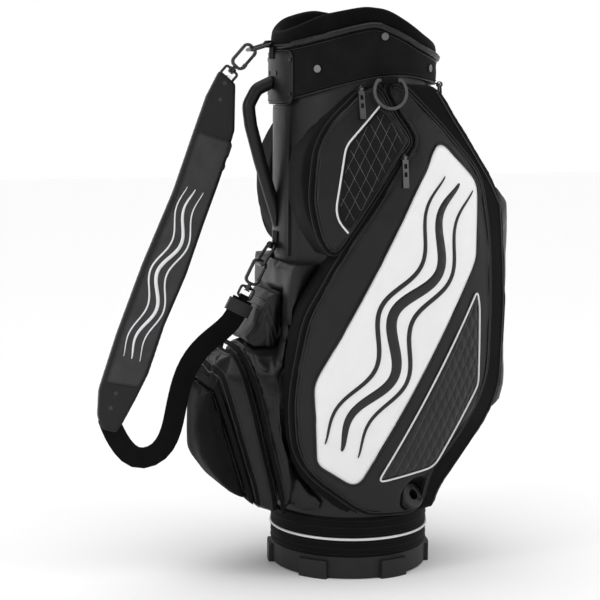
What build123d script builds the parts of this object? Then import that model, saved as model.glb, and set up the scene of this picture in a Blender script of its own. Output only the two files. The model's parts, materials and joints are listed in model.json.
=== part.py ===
from build123d import *
import math
import os

os.makedirs("parts", exist_ok=True)

# A golf staff bag. Millimetres, +Z up, origin at the centre of the base on the floor.
# The front, with the handle, the strap and the ball pocket, faces -Y. The sides face +X and -X.

# ---- driving dimensions ----
TUBE_IN_R = 108.5  # club tube
TUBE_OUT_R = 111.5
SKIN_IN_R = 116.6  # outer skin of the body
SKIN_OUT_R = 118.6
POCKET_IN_R = 118.9  # the pockets sit on the skin
WALL = 4.0  # padded pocket wall
REACH = 260.0  # longer than the bag is wide, for cutting tools

CUP_R = 121.0  # moulded base
CUP_TOP = 34.0
SEAT_TOP = 88.0
FLOOR_TOP = 12.0
FOOT_R = 127.0
FOOT_W = 46.0
BAND_TOP = 95.0
BAND_R = 121.4
PIPING_Z = 62.0

SKIN_TOP = 756.0
RODS_TOP = 700.0
WRAP_R = 125.5
ROLL_HALF = 5.0  # half height of the leather roll
ROLL_OUT_R = 131.0
GRID_LOW = 738.0
GRID_TOP = 788.0
GRID_T = 10.0  # thickness of a divider bar
SLEEVE_T = 1.6  # thickness of a divider curtain
BAR_Y = 38.0  # the two cross bars stand at -BAR_Y and +BAR_Y

STEP = 8.0  # how far a pocket's zip shoulder lies below its face
GRIP_R = 10.0  # carry handle, over its leather
HANDLE_CORE_R = 4.0

# the side faces bulge like a barrel: plan radius, upright radius, and where the bulge is widest
BARREL_X = -215.0
BARREL_Y = 22.0
BARREL_Z = 425.0
BARREL_R = 380.0
BARREL_UP_R = 1446.0

# ---- side outlines, seen from +X, as (y, z) ----
CUFF_LOWER = [(-132, 712), (-85, 731), (-47, 743), (-12, 751), (28, 754), (56, 752), (87, 747), (132, 740)]
ROLL_LINE = [(-134, 794), (-108, 801), (-55, 818), (-14, 827), (11, 820), (38, 809), (69, 795), (134, 776)]
RIM_LINE = [
    (-132, 815), (-92, 838), (-69, 846), (-34, 853), (-12, 853), (14, 848), (57, 827), (88, 812), (132, 798),
]

MAIN_FACE = [
    (6, 742), (23, 706), (47, 672), (49, 655), (31, 633), (-69, 487), (-114, 402), (-128, 312),
    (-130, 266), (-123, 204), (-98, 165), (-56, 133), (-15, 103), (70, 103), (81, 170), (122, 210),
    (161, 268), (176, 310), (176, 421), (172, 524), (157, 609), (87, 684), (26, 744),
]
MAIN_BASE = [
    (0, 744), (17, 704), (41, 670), (43, 657), (26, 637), (-74, 490), (-122, 421), (-136, 330),
    (-139, 277), (-133, 214), (-112, 159), (-62, 111), (-30, 98), (100, 98), (105, 130), (134, 168),
    (167, 208), (203, 250), (215, 289), (217, 414), (208, 568), (190, 599), (131, 682), (96, 737), (70, 744),
]
UPPER_FACE = [
    (-6, 740), (-26, 734), (-78, 684), (-97, 648), (-106, 576), (-97, 526), (-79, 494), (21, 640),
    (36, 656), (37, 666), (12, 701),
]
UPPER_BASE = [
    (-6, 743), (-34, 743), (-87, 692), (-113, 647), (-121, 604), (-115, 553), (-94, 503), (-80, 486),
    (26, 637), (43, 657), (41, 670), (17, 704),
]
WHITE_PANEL = [
    (79, 656), (93, 656), (145, 606), (152, 590), (148, 489), (143, 475), (-30, 152), (-45, 150),
    (-96, 183), (-106, 302), (-100, 321),
]
QUILT_PANEL = [(149, 438), (154, 414), (158, 296), (154, 286), (91, 178), (80, 170), (2, 154), (-1, 159)]
UPPER_QUILT = [(-58, 653), (-75, 563), (-71, 546), (-58, 531), (28, 657), (29, 664), (6, 696), (-8, 709)]

# ---- front outlines ----
FRONT_SIDE = [
    (-60, 97), (-60, 484), (-126, 484), (-128, 421), (-131, 371), (-142, 338), (-150, 290), (-146, 214),
    (-128, 140), (-105, 97),
]
FRONT_HALF = [(80, 97), (86, 159), (88, 214), (90, 277), (96, 330), (104, 421), (108, 484)]
FRONT_CORNER = [(-20, 97), (-62, 109), (-112, 157), (-134, 214), (-146, 214), (-128, 140), (-105, 97)]
BULGE_SIDE = [
    (-119, 97), (-119, 360), (-196, 356), (-222, 328), (-239, 296), (-254, 230), (-249, 186), (-226, 150),
    (-185, 118), (-135, 97),
]
BULGE_HALF = [(78, 97), (92, 112), (99, 150), (99, 285), (84, 328), (44, 354), (0, 356)]
BULGE_PLAN = [(104, -119), (104, -160), (98, -188), (88, -216), (68, -237), (38, -250), (0, -254)]
ZIP_LOW_Z = 104.0
ZIPS = {"inner": (-130.0, 0.243), "outer": (-178.0, 0.27)}  # y at ZIP_LOW_Z, and lean per mm of height
ZIP_W = 6.0
VALUABLES_SIDE = [
    (-120, 340), (-120, 424), (-127, 433), (-141, 433), (-148, 424), (-162, 386), (-184, 357), (-160, 340),
]
VALUABLES_HALF_W = 52.0

REAR_SIDE = [
    (119, 236), (119, 592), (205, 592), (236, 566), (246, 520), (248, 400), (243, 290), (228, 250), (196, 236),
]
REAR_PLAN = [(80, 119), (80, 214), (62, 236), (30, 247), (0, 248)]

HANDLE_LINE = [(-120, 748), (-153, 733), (-166, 709), (-162, 679), (-147, 625), (-128, 566), (-116, 528)]


# ---- shared construction ----
def ring(r_in, r_out, low, top):
    """An upright tube about the bag's axis."""
    height = top - low
    body = Cylinder(r_out, height, align=(Align.CENTER, Align.CENTER, Align.MIN))
    hole = Cylinder(r_in, height, align=(Align.CENTER, Align.CENTER, Align.MIN))
    return Pos(0, 0, low) * (body - hole)


def disc(radius, low, top):
    """A solid upright cylinder about the bag's axis."""
    return Pos(0, 0, low) * Cylinder(radius, top - low, align=(Align.CENTER, Align.CENTER, Align.MIN))


def rounded(points, radius, closed=True):
    """The same outline with its corners cut round."""
    made = []
    count = len(points)
    for i, (u, v) in enumerate(points):
        if not closed and i in (0, count - 1):
            made.append((u, v))
            continue
        ends = []
        for u2, v2 in (points[i - 1], points[(i + 1) % count]):
            run = math.dist((u, v), (u2, v2))
            share = min(radius / run, 0.4)
            ends.append((u + (u2 - u) * share, v + (v2 - v) * share))
        (u0, v0), (u1, v1) = ends
        made += [ends[0], ((u0 + 2 * u + u1) / 4, (v0 + 2 * v + v1) / 4), ends[1]]
    return made


def side_prism(points, low_x, high_x, grow=0.0):
    """A (y, z) outline pushed along X."""
    face = make_face(Polyline(*points, close=True))
    if grow:
        face = offset(face, amount=grow)
    return extrude(Plane.YZ.offset(low_x) * face, amount=high_x - low_x)


def front_prism(half, low_y, high_y, grow=0.0):
    """A symmetric (x, z) outline, given by its +X half from the bottom up, pushed along Y."""
    points = half + [(-x, z) for x, z in reversed(half) if x > 0]
    face = make_face(Polyline(*points, close=True))
    if grow:
        face = offset(face, amount=grow)
    return extrude(Plane.XZ.offset(-high_y) * face, amount=high_y - low_y)


def plan_prism(half, low_z, high_z, grow=0.0):
    """A symmetric (x, y) outline, given by its +X half from the body outwards, pushed along Z."""
    points = half + [(-x, y) for x, y in reversed(half) if x > 0]
    face = make_face(Polyline(*points, close=True))
    if grow:
        face = offset(face, amount=grow)
    return extrude(Plane.XY.offset(low_z) * face, amount=high_z - low_z)


def barrel(grow):
    """The barrel that bounds the +X side face, grown or shrunk."""
    low, high = 60.0, 800.0
    upright = BARREL_UP_R + grow

    def radius(z):
        return BARREL_R + grow - upright + math.sqrt(upright**2 - (z - BARREL_Z) ** 2)

    arc = ThreePointArc((radius(low), low), (radius(BARREL_Z), BARREL_Z), (radius(high), high))
    rest = Polyline((radius(high), high), (0, high), (0, low), (radius(low), low))
    profile = Plane.XZ * make_face(Curve() + [arc, rest])
    return Pos(BARREL_X, BARREL_Y, 0) * revolve(profile, Axis.Z)


def under(line):
    """Everything below a saddle line of the cuff, along the whole of X."""
    far_z = 0.0
    edge = Spline(*line)
    rest = Polyline(line[-1], (line[-1][0], far_z), (line[0][0], far_z), line[0])
    return extrude(Plane.YZ.offset(-REACH) * make_face(Curve() + [edge, rest]), amount=2 * REACH)


def lift(line, height):
    """The same line, higher."""
    return [(y, z + height) for y, z in line]


def both(solid):
    """A piece and its mirror image on the other side."""
    return [solid, solid.mirror(Plane.YZ)]


def around(angle_deg, radius, z, piece):
    """Puts a piece built about +X at an angle from the front, going towards +X."""
    return Rot(0, 0, angle_deg - 90) * Pos(radius, 0, z) * piece


def wire(path, radius):
    """A round rod along a closed or open path."""
    start = Plane(origin=path @ 0, z_dir=path % 0)
    return sweep(start * Circle(radius), path=path, transition=Transition.RIGHT)


def save(name, *shapes):
    """Writes one node."""
    flat = []
    for shape in shapes:
        flat += shape if isinstance(shape, list) else [shape]
    solids = []
    for shape in flat:
        solids += shape.solids()
    export_step(solids[0] if len(solids) == 1 else Compound(solids), f"parts/{name}.step")


# the same barrel at every depth that the side pieces need
DEPTHS = (5.0, 0.4, 0.0, -1.2, -1.25, -WALL, -5.0, -STEP + 0.1, -STEP, -STEP - WALL, -20.0)
BARREL = {grow: barrel(grow) for grow in DEPTHS}


# ---- base ----
def base_cup():
    profile = Polyline(
        (0, 4), (104, 4), (108, 1), (CUP_R - 2, 1), (CUP_R, 3), (CUP_R, CUP_TOP), (118.4, CUP_TOP),
        (118.4, SEAT_TOP), (112.4, SEAT_TOP), (112.4, FLOOR_TOP), (0, FLOOR_TOP), (0, 4),
    )
    cup = revolve(Plane.XZ * make_face(profile), Axis.Z)
    foot = Box(FOOT_R - 106, FOOT_W, 28, align=(Align.MIN, Align.CENTER, Align.MIN))
    feet = [around(45 + 60 * k, 106, 0, foot) for k in range(6)]
    tread = ring(90, FOOT_R, 0, 40)
    cup += disc(24, 0, 5)
    for one in feet:
        cup += (one & tread) - disc(112.4, FLOOR_TOP, 60)
    return cup


band = ring(SKIN_OUT_R, BAND_R, CUP_TOP + 0.2, BAND_TOP)
piping = Pos(0, 0, PIPING_Z) * Torus(BAND_R + 0.6, 1.9)
save("base_cup", base_cup())
save("base_pad", disc(TUBE_IN_R - 1, FLOOR_TOP + 0.1, FLOOR_TOP + 6))
save("base_band", band - Pos(0, 0, PIPING_Z) * Torus(BAND_R + 0.6, 2.0))
save("base_piping", piping)

# ---- tube, stays and skin ----
roll_low = under(lift(ROLL_LINE, -ROLL_HALF - 0.3))
tube = ring(TUBE_IN_R, TUBE_OUT_R, FLOOR_TOP + 0.1, 840) & roll_low
rod_h = RODS_TOP - SEAT_TOP - 1
rod = Cylinder(2.2, rod_h, align=(Align.CENTER, Align.CENTER, Align.MIN))
save("inner_tube", tube)
save("stay_rods", [around(45 + 90 * k, 114.0, SEAT_TOP + 0.5, rod) for k in range(4)])
save("body_skin", ring(SKIN_IN_R, SKIN_OUT_R - 0.1, SEAT_TOP + 0.2, SKIN_TOP))

# ---- top ----
core = ring(TUBE_OUT_R + 0.4, SKIN_IN_R - 0.3, RODS_TOP + 4, 840)
core += ring(TUBE_OUT_R + 0.4, SKIN_OUT_R - 0.2, SKIN_TOP + 0.3, 840)
save("cuff_core", core & roll_low)

wrap = ring(SKIN_OUT_R, WRAP_R, 700, 840) - under(CUFF_LOWER)
save("cuff_wrap", wrap & roll_low)

roll = ring(SKIN_OUT_R + 3, ROLL_OUT_R, 760, 860) - roll_low
roll = roll & under(lift(ROLL_LINE, ROLL_HALF))
tab_notch = Pos(0, -125, 800) * Box(100, 60, 80)
save("cuff_roll", roll - tab_notch)

collar = ring(TUBE_IN_R + 2.5, WRAP_R - 0.5, 760, 880) - under(lift(ROLL_LINE, ROLL_HALF + 0.3))
save("cuff_collar", collar & under(RIM_LINE))


def divider(thickness, low, top, reach):
    """One long bar front to back and two cross bars, the walls of six club compartments."""
    height = top - low
    long_bar = Pos(0, 0, low) * Box(thickness, 2 * reach, height, align=(Align.CENTER, Align.CENTER, Align.MIN))
    grid = long_bar
    for y in (-BAR_Y, BAR_Y):
        grid += Pos(0, y, low) * Box(2 * reach, thickness, height, align=(Align.CENTER, Align.CENTER, Align.MIN))
    return grid & disc(TUBE_IN_R - 0.5, low, top)


save("divider_grid", divider(GRID_T, GRID_LOW, GRID_TOP, 120))
save("divider_sleeves", divider(SLEEVE_T, FLOOR_TOP + 8, GRID_LOW - 0.2, 120))

# ---- handle and its tab ----
tab_face = Pos(0, 751) * RectangleRounded(118, 80, 16)
tab_block = extrude(Plane.XZ.offset(100) * tab_face, amount=60)
tab = ring(WRAP_R + 0.2, WRAP_R + 3.2, 700, 800) & tab_block
stud_points = [(24, 777), (24, 727), (-24, 777), (-24, 727), (7, 757), (-7, 757)]
tab_stud = Rot(0, 90, 0) * Cylinder(3.4, 1.8, align=(Align.CENTER, Align.CENTER, Align.MIN))
save("handle_tab", tab)
save("tab_rivets", [around(angle, WRAP_R + 3.3, z, tab_stud) for angle, z in stud_points])

strip = ring(SKIN_OUT_R, SKIN_OUT_R + 3, 486, 709) & Pos(0, -118, 600) * Box(80, 60, 300)
save("spine_strip", strip)

handle_path = Plane.YZ * FilletPolyline(*HANDLE_LINE, radius=17)
handle = wire(handle_path, GRIP_R)
handle_core = wire(handle_path, HANDLE_CORE_R)
handle_bore = wire(handle_path, HANDLE_CORE_R + 0.1)
anchor_room = disc(WRAP_R + 3.4, 690, 800) + disc(SKIN_OUT_R + 3.1, 480, 690)
save("handle_grip", handle - handle_bore - anchor_room)
save("handle_core", handle_core - anchor_room)

snap = Rot(0, 90, 0) * Cylinder(5.5, 2.6, align=(Align.CENTER, Align.CENTER, Align.MIN))
snap_places = [(46, 764), (134, 766), (91, 811)]
snaps = []
for angle, z in snap_places:
    snaps += [around(angle, WRAP_R + 0.1, z, snap), around(-angle, WRAP_R + 0.1, z, snap)]
save("snap_studs", snaps)

# ---- umbrella socket, low on the +X side ----
SOCKET_ANGLE = 115.0
SOCKET_Z = 121.0
SOCKET_TILT = 28.0
SOCKET_BORE = 8.0
SOCKET_DEPTH = 16.0


def on_socket(piece):
    """Puts a piece built about +Z, mouth up, on the socket's axis."""
    return around(SOCKET_ANGLE, 127.0, SOCKET_Z, Rot(0, 90 - SOCKET_TILT, 0) * piece)


socket = Cylinder(20, 14, align=(Align.CENTER, Align.CENTER, Align.MIN))
socket += Pos(0, 0, -8) * Cylinder(14, 8.1, align=(Align.CENTER, Align.CENTER, Align.MIN))
bore = Pos(0, 0, 14 - SOCKET_DEPTH) * Cylinder(SOCKET_BORE, 40, align=(Align.CENTER, Align.CENTER, Align.MIN))
socket = on_socket(fillet(socket.edges().group_by(Axis.Z)[-1], 3) - bore)
socket_trim = disc(POCKET_IN_R + 0.2, 60, 200)
socket_room = on_socket(Pos(0, 0, -8.5) * Cylinder(21, 60, align=(Align.CENTER, Align.CENTER, Align.MIN)))
socket_wall = on_socket(Pos(0, 0, -12) * Cylinder(25, 60, align=(Align.CENTER, Align.CENTER, Align.MIN)))
save("umbrella_socket", socket - socket_trim)

# ---- side pockets ----
MAIN_FACE = rounded(MAIN_FACE, 24)
MAIN_BASE = rounded(MAIN_BASE, 30)
UPPER_FACE = rounded(UPPER_FACE, 20)
UPPER_BASE = rounded(UPPER_BASE, 24)
skin_room = disc(POCKET_IN_R, 60, 800)
skin_wall = disc(POCKET_IN_R + WALL, 60, 800)
inboard = Pos(-REACH, 0, 425) * Box(2 * REACH + 2 * 84, 2 * REACH, 900)
inboard_wall = Pos(-REACH, 0, 425) * Box(2 * REACH + 2 * (84 + WALL), 2 * REACH, 900)


def main_pocket():
    base = side_prism(MAIN_BASE, 84, 200) & BARREL[-STEP]
    face = side_prism(MAIN_FACE, 84, 200) & BARREL[0.0]
    void = side_prism(MAIN_BASE, 84 + WALL, 200, grow=-WALL) & BARREL[-STEP - WALL]
    void += side_prism(MAIN_FACE, 84 + WALL, 200, grow=-WALL) & BARREL[-WALL]
    recess = side_prism(WHITE_PANEL, 84, 200) + side_prism(QUILT_PANEL, 84, 200)
    recess = recess & BARREL[5.0] - BARREL[-1.25]
    return base + face - skin_room - (void - skin_wall - socket_wall) - recess


def upper_pocket():
    inner_x = 44.0
    main_room = side_prism(MAIN_BASE, 0, 200, grow=0.4)
    base = side_prism(UPPER_BASE, inner_x, 200) & BARREL[-STEP]
    face = side_prism(UPPER_FACE, inner_x, 200) & BARREL[0.0]
    void = side_prism(UPPER_BASE, inner_x + WALL, 200, grow=-WALL) & BARREL[-STEP - WALL]
    void += side_prism(UPPER_FACE, inner_x + WALL, 200, grow=-WALL) & BARREL[-WALL]
    recess = side_prism(UPPER_QUILT, 84, 200) & BARREL[5.0] - BARREL[-1.25]
    void = void - skin_wall - side_prism(MAIN_BASE, 0, 200, grow=WALL + 0.4)
    return base + face - skin_room - main_room - void - recess


def sewn_panel(outline):
    """A thin panel that follows the barrel, sewn into a recess of the face."""
    return side_prism(outline, 84, 200, grow=-0.1) & BARREL[0.4] - BARREL[-1.2]


MAIN_RIGHT = main_pocket() - socket_room
MAIN_LEFT = main_pocket().mirror(Plane.YZ)
upper = upper_pocket()
save("main_pocket_right", MAIN_RIGHT)
save("main_pocket_left", MAIN_LEFT)
save("upper_pocket_right", upper)
save("upper_pocket_left", upper.mirror(Plane.YZ))


save("white_panels", both(sewn_panel(WHITE_PANEL)))
save("quilt_panels", both(sewn_panel(QUILT_PANEL)), both(sewn_panel(UPPER_QUILT)))


# ---- front pockets ----
BULGE_SIDE = rounded(BULGE_SIDE, 30)
BULGE_HALF = rounded(BULGE_HALF, 30, closed=False)
BULGE_PLAN = rounded(BULGE_PLAN, 20, closed=False)


def zip_y(which, z):
    """Where a leaning zip plane of the ball pockets stands at a height."""
    y_low, lean = ZIPS[which]
    return y_low - lean * (z - ZIP_LOW_Z)


def slab(which, near, far):
    """The slice of space between two distances in front of a leaning zip plane."""
    low, high = 60.0, 400.0
    points = [
        (zip_y(which, low) - near, low), (zip_y(which, high) - near, high),
        (zip_y(which, high) - far, high), (zip_y(which, low) - far, low),
    ]
    return side_prism(points, -REACH, REACH)


def bulge(inset):
    """The rounded block of the two ball pockets."""
    side = side_prism(BULGE_SIDE, -REACH, REACH, grow=-inset)
    front = front_prism(BULGE_HALF, -REACH, -60, grow=-inset)
    plan = plan_prism(BULGE_PLAN, 60, 400, grow=-inset)
    return side & front & plan


def front_pocket():
    keep_off = side_prism(MAIN_BASE, 83.5, 200, grow=0.5)
    room = [skin_room, keep_off, keep_off.mirror(Plane.YZ)]
    outer = side_prism(FRONT_SIDE, -REACH, REACH) & front_prism(FRONT_HALF, -REACH, -60)
    corner = side_prism(FRONT_CORNER, 60, 200) & BARREL[-20.0]
    outer = outer + corner + corner.mirror(Plane.YZ) + (bulge(0) & slab("inner", -200, 0))
    hollow = bulge(WALL) & slab("inner", -200, -WALL)
    for cut in room:
        outer = outer - cut
    return outer - (hollow - skin_wall)


valuables_outer = side_prism(VALUABLES_SIDE, -VALUABLES_HALF_W, VALUABLES_HALF_W)
front = front_pocket()
front_trim = side_prism(VALUABLES_SIDE, -VALUABLES_HALF_W, VALUABLES_HALF_W, grow=0.1)
front = front - (front_trim & (Pos(0, -160, 398) * Box(120, 82, 82)))
valuables = valuables_outer - side_prism(FRONT_SIDE, -REACH, REACH, grow=0.1) - bulge(-0.1)
valuables_void = side_prism(VALUABLES_SIDE, -VALUABLES_HALF_W + WALL, VALUABLES_HALF_W - WALL, grow=-WALL)
valuables = valuables - (valuables_void - side_prism(FRONT_SIDE, -REACH, REACH, grow=WALL) - bulge(-WALL))
inner_ball = bulge(0) & slab("inner", ZIP_W, 200) - slab("outer", 0, 200)
inner_ball = inner_ball - (bulge(WALL) & slab("inner", ZIP_W + WALL, 200) - slab("outer", -WALL, 200))
outer_ball = bulge(0) & slab("outer", ZIP_W, 200)
outer_ball = outer_ball - (bulge(WALL) & slab("outer", ZIP_W + WALL, 200))
save("front_pocket", front)
save("valuables_pocket", valuables)
save("ball_pocket", inner_ball)
save("outer_ball_pocket", outer_ball)


# ---- rear pocket ----
def rear(inset):
    side = side_prism(REAR_SIDE, -REACH, REACH, grow=-inset)
    return side & plan_prism(REAR_PLAN, 60, 800, grow=-inset)


rear_pocket = rear(0) - skin_room - (rear(WALL) - skin_wall)
save("rear_pocket", rear_pocket)


# ---- zips ----
def chain(outline, mask, near, far):
    """A zip's tape: it follows an outline at a distance, on the shoulder of a side pocket."""
    shoulder = BARREL[-5.0] - BARREL[-STEP + 0.1]
    tape = side_prism(outline, 84, 200, grow=far) & side_prism(mask, 84, 200)
    return (tape - side_prism(outline, 84, 200, grow=near)) & shoulder


MAIN_ZIP_PART = [(34, 640), (-60, 640), (-160, 500), (-160, 60), (-14, 60), (-14, 160)]
UPPER_ZIP_PART = [(-22, 742), (-22, 700), (-60, 500), (-160, 480), (-160, 742)]
main_chain = chain(MAIN_FACE, MAIN_ZIP_PART, 0.6, 4.6)
upper_chain = chain(UPPER_FACE, UPPER_ZIP_PART, 0.6, 4.6)
ball_chains = []
for which in ZIPS:
    arch = bulge(2.0) & slab(which, 0.2, ZIP_W - 0.2)
    ball_chains.append(arch - bulge(5.0))
valuables_tape = [(-135, 424), (-140, 424), (-151, 385), (-146, 385)]
valuables_chain = side_prism(valuables_tape, -VALUABLES_HALF_W - 2.4, -VALUABLES_HALF_W - 0.1)
save("zip_chains", both(main_chain), both(upper_chain), ball_chains, valuables_chain)

SLIDER = (9.0, 8.0, 5.0)  # along the zip, across it, and high
PULL_L = 42.0
PULL_W = 9.0
PULL_T = 2.4
PIN_R = 1.0


def pull_plate():
    """A zip pull with its hinge eye at the origin, hanging down, flat side to +X."""
    plate = Pos(0, 0, -PULL_L / 2 - 2) * Box(PULL_T, PULL_W, PULL_L)
    for z in (-12.5, -24.5):
        plate -= Pos(0, 0, z) * Box(10, 4.6, 7.0)
    across = Rot(90, 0, 0)
    eye = across * (Cylinder(2.2, 3.6) - Cylinder(PIN_R + 0.05, 10))
    neck = Pos(0, 0, -2.6) * Box(PULL_T, 3.6, 2.6) - across * Cylinder(1.8, 10)
    return eye + neck + plate - Pos(0, 0, -1.2) * (Box(10, 20, 3.4) - Box(11, 3.6, 4))


def slider_body():
    """A zip slider's shell: +X is away from the bag and +Z is along the zip."""
    return Pos(-5.4, 0, 0) * Box(SLIDER[2], SLIDER[1], SLIDER[0])


def slider_bail():
    """The two cheeks and the pin that hold a pull; the pin lies along Y through the origin."""
    pin = Rot(90, 0, 0) * Cylinder(PIN_R, 6.6)
    return pin + [Pos(-1.4, side * 2.7, 0) * Box(4.8, 1.2, 3.6) for side in (-1, 1)]


def lean_out(degrees, piece):
    """Swings a hanging piece away from the +X side."""
    return Rot(0, -degrees, 0) * piece


def put(piece, place, turn=0.0):
    """Moves a piece to its place after turning it about the upright axis."""
    return Pos(*place) * Rot(0, 0, turn) * piece


def on_face(pin, away, along, piece):
    """Puts a piece built with +X away from the bag and +Z along the zip."""
    return Plane(origin=pin, x_dir=away, z_dir=along).location * piece


ARCH_UP = (0.838, 0, 0.545)  # up the left shoulder of the ball pocket's arch
SIDE_UP = (0, 0.27, 0.963)  # up the side edge of the valuables pocket
ARCH_AWAY = (-0.545, 0, 0.838)
NOSE_AWAY = (0, -0.883, 0.469)
UP = (0, 0, 1)
# pin of the slider, outward direction, up the zip, up the hanging pull, and how far the pull leans out
ZIP_SETS = {
    "main_zip": ((153.4, 26.0, 637.0), (1, 0, 0), (0, 0.566, 0.824), UP, 7.5),
    "upper_zip": ((131.6, -35.4, 735.4), (1, 0, 0), (0, 0.72, 0.69), UP, 13.5),
    "inner_zip": ((-55.0, zip_y("inner", 348) - ZIP_W / 2, 357.3), ARCH_AWAY, ARCH_UP, ARCH_UP, 2),
    "outer_zip": ((-42.0, -239.5, 312.0), NOSE_AWAY, (1, 0, 0), (1, 0, 0), 2),
    "valuables_zip": ((-VALUABLES_HALF_W - 11.2, -139.8, 415.0), (-1, 0, 0), SIDE_UP, SIDE_UP, 2),
}
for zip_name, (pin, away, along, hang, lean) in ZIP_SETS.items():
    slider = on_face(pin, away, along, slider_body()) + on_face(pin, away, hang, slider_bail())
    pull = on_face(pin, away, hang, lean_out(lean, pull_plate()))
    if zip_name in ("main_zip", "upper_zip"):
        save(f"{zip_name}_slider_right", slider)
        save(f"{zip_name}_pull_right", pull)
        save(f"{zip_name}_slider_left", slider.mirror(Plane.YZ))
        save(f"{zip_name}_pull_left", pull.mirror(Plane.YZ))
    else:
        save(f"{zip_name}_slider", slider)
        save(f"{zip_name}_pull", pull)

# ---- rings on the cuff ----
RING_PIN = (138.0, 6.0, 748.0)
RING_LEAN = 12.0
REAR_RING_ANGLE = 152.0
REAR_RING_PIN = (131.5, 742.0)


def flat_ring(radius, chord, section, thick):
    """A round moulded ring with a straight top bar at the origin, flat side to +X."""

    def outline(inset):
        centre = Pos(0, section / 2 - chord)
        below = Pos(0, section / 2 - inset - radius) * Rectangle(4 * radius, 2 * radius)
        return centre * Circle(radius - inset) & below

    return extrude(Plane.YZ * (outline(0) - outline(section)), amount=thick / 2, both=True)


def hanger(width, lug, drop):
    """A webbing loop around a ring's top bar, sewn under the cuff."""
    across = Rot(90, 0, 0)
    sleeve = across * (Cylinder(drop + 1.4, width) - Cylinder(drop, width + 2))
    tail = Pos(-lug / 2 - drop - 0.2, 0, 1.2) * Box(lug, width, 1.6)
    return sleeve + (tail - across * Cylinder(drop + 0.6, width + 2))


save("towel_ring", put(lean_out(RING_LEAN, flat_ring(27, 19, 4.6, 4)), RING_PIN))
save("rear_ring", around(REAR_RING_ANGLE, *REAR_RING_PIN, lean_out(4, flat_ring(19, 13, 3.8, 3.4))))

# ---- the strap's D-rings ----
D_TOP = (-135.0, 800.0)  # (y, z) of the bar
D_TOP_TIP = (-164.0, 791.0)
D_LOW = (-128.0, 498.0)
D_LOW_TIP = (-147.0, 470.0)
D_WIRE = 2.5
D_W = 36.0


def d_ring(start, tip):
    """A wire D-ring: its bar lies along X at start and its bow reaches to tip."""
    reach = math.dist(start, tip)
    line = FilletPolyline((-D_W / 2, 0), (D_W / 2, 0), (D_W / 2, reach), (-D_W / 2, reach), radius=6, close=True)
    away = Vector(0, tip[0] - start[0], tip[1] - start[1]).normalized()
    frame = Plane(origin=(0, *start), x_dir=(1, 0, 0), z_dir=Vector(1, 0, 0).cross(away))
    return wire(frame * line, D_WIRE)


def d_keeper(start, tail_y, tail_low, tail_high):
    """A leather loop around a D-ring's bar, with a tail stitched to the bag."""
    sleeve = Rot(0, 90, 0) * (Cylinder(D_WIRE + 2.9, 20) - Cylinder(D_WIRE + 0.3, 22))
    sleeve = Pos(0, *start) * sleeve
    tail = Pos(0, tail_y - 0.9, (tail_low + tail_high) / 2) * Box(20, 1.8, tail_high - tail_low)
    return sleeve + (tail - Pos(0, *start) * Rot(0, 90, 0) * Cylinder(D_WIRE + 1.5, 40))


save("strap_rings", d_ring(D_TOP, D_TOP_TIP), d_ring(D_LOW, D_LOW_TIP))
save(
    "ring_loops",
    d_keeper(D_TOP, -128.9, 778, 802),
    d_keeper(D_LOW, -121.8, 498, 520),
    put(hanger(24, 7, 3.8), RING_PIN),
    around(REAR_RING_ANGLE, *REAR_RING_PIN, hanger(14, 2.2, 3.2)),
)

# ---- strap ----
HOOK_WIRE = 2.2
HOOK_W = 20.0
HOOK_FAR = -5.6  # the hook's bow passes inside the D-ring, this far beyond the contact
HOOK_NEAR = 32.4
GATE_AT = 22.0
EYE_AT = 40.0
EYE_END = 56.0


def hook_frame(tip, towards):
    """Origin at the D-ring's bow, +Z back towards the strap, the hook's flat side facing +X."""
    back = Vector(0, *towards).normalized()
    return Plane(origin=(0, *tip), x_dir=Vector(1, 0, 0).cross(back), z_dir=back)


def hook_body():
    """A flat snap hook, open on its +X side between the nose and the gate's fork."""
    x = HOOK_W / 2
    length = HOOK_NEAR - HOOK_FAR
    middle = Pos(0, (HOOK_FAR + HOOK_NEAR) / 2)
    outer = middle * RectangleRounded(HOOK_W + 2 * HOOK_WIRE, length + 2 * HOOK_WIRE, 9)
    inner = middle * RectangleRounded(HOOK_W - 2 * HOOK_WIRE, length - 2 * HOOK_WIRE, 5)
    mouth = Pos(x, GATE_AT / 2 + 3.3) * Rectangle(8, GATE_AT - 1.4)
    body = extrude(Plane.XZ * (outer - inner - mouth), amount=HOOK_WIRE, both=True)
    stem = Pos(0, 0, HOOK_NEAR) * Cylinder(3.0, 11.7, align=(Align.CENTER, Align.CENTER, Align.MIN))
    head = Pos(0, 0, HOOK_NEAR + 11.6) * Cylinder(4.4, 1.6, align=(Align.CENTER, Align.CENTER, Align.MIN))
    foot = Pos(x, 0, GATE_AT + 4.2) * Box(5, 7.8, 3)
    pin = Pos(x, 0, GATE_AT) * Rot(90, 0, 0) * Cylinder(0.8, 7.0)
    fork = foot + pin
    for side in (-1, 1):
        fork += Pos(x, side * 3.3, GATE_AT + 1.6) * Box(5, 1.2, 7)
    return body + fork + stem + head


def hook_gate():
    x = HOOK_W / 2
    bar = Pos(x, 0, 4.5) * Cylinder(2.4, GATE_AT + 1.2 - 4.5, align=(Align.CENTER, Align.CENTER, Align.MIN))
    return bar - Pos(x, 0, GATE_AT) * Rot(90, 0, 0) * Cylinder(0.85, 12)


def eye():
    """The swivel's sleeve with the bow that the strap is sewn around."""
    sleeve = Pos(0, 0, EYE_AT) * (Cylinder(5.4, 6) - Cylinder(3.1, 8))
    line = FilletPolyline((-11, EYE_AT), (11, EYE_AT), (11, EYE_END), (-11, EYE_END), radius=3.5, close=True)
    return sleeve + (wire(Plane.XZ * line, 2.0) - Pos(0, 0, EYE_AT) * Cylinder(4.6, 9))


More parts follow.
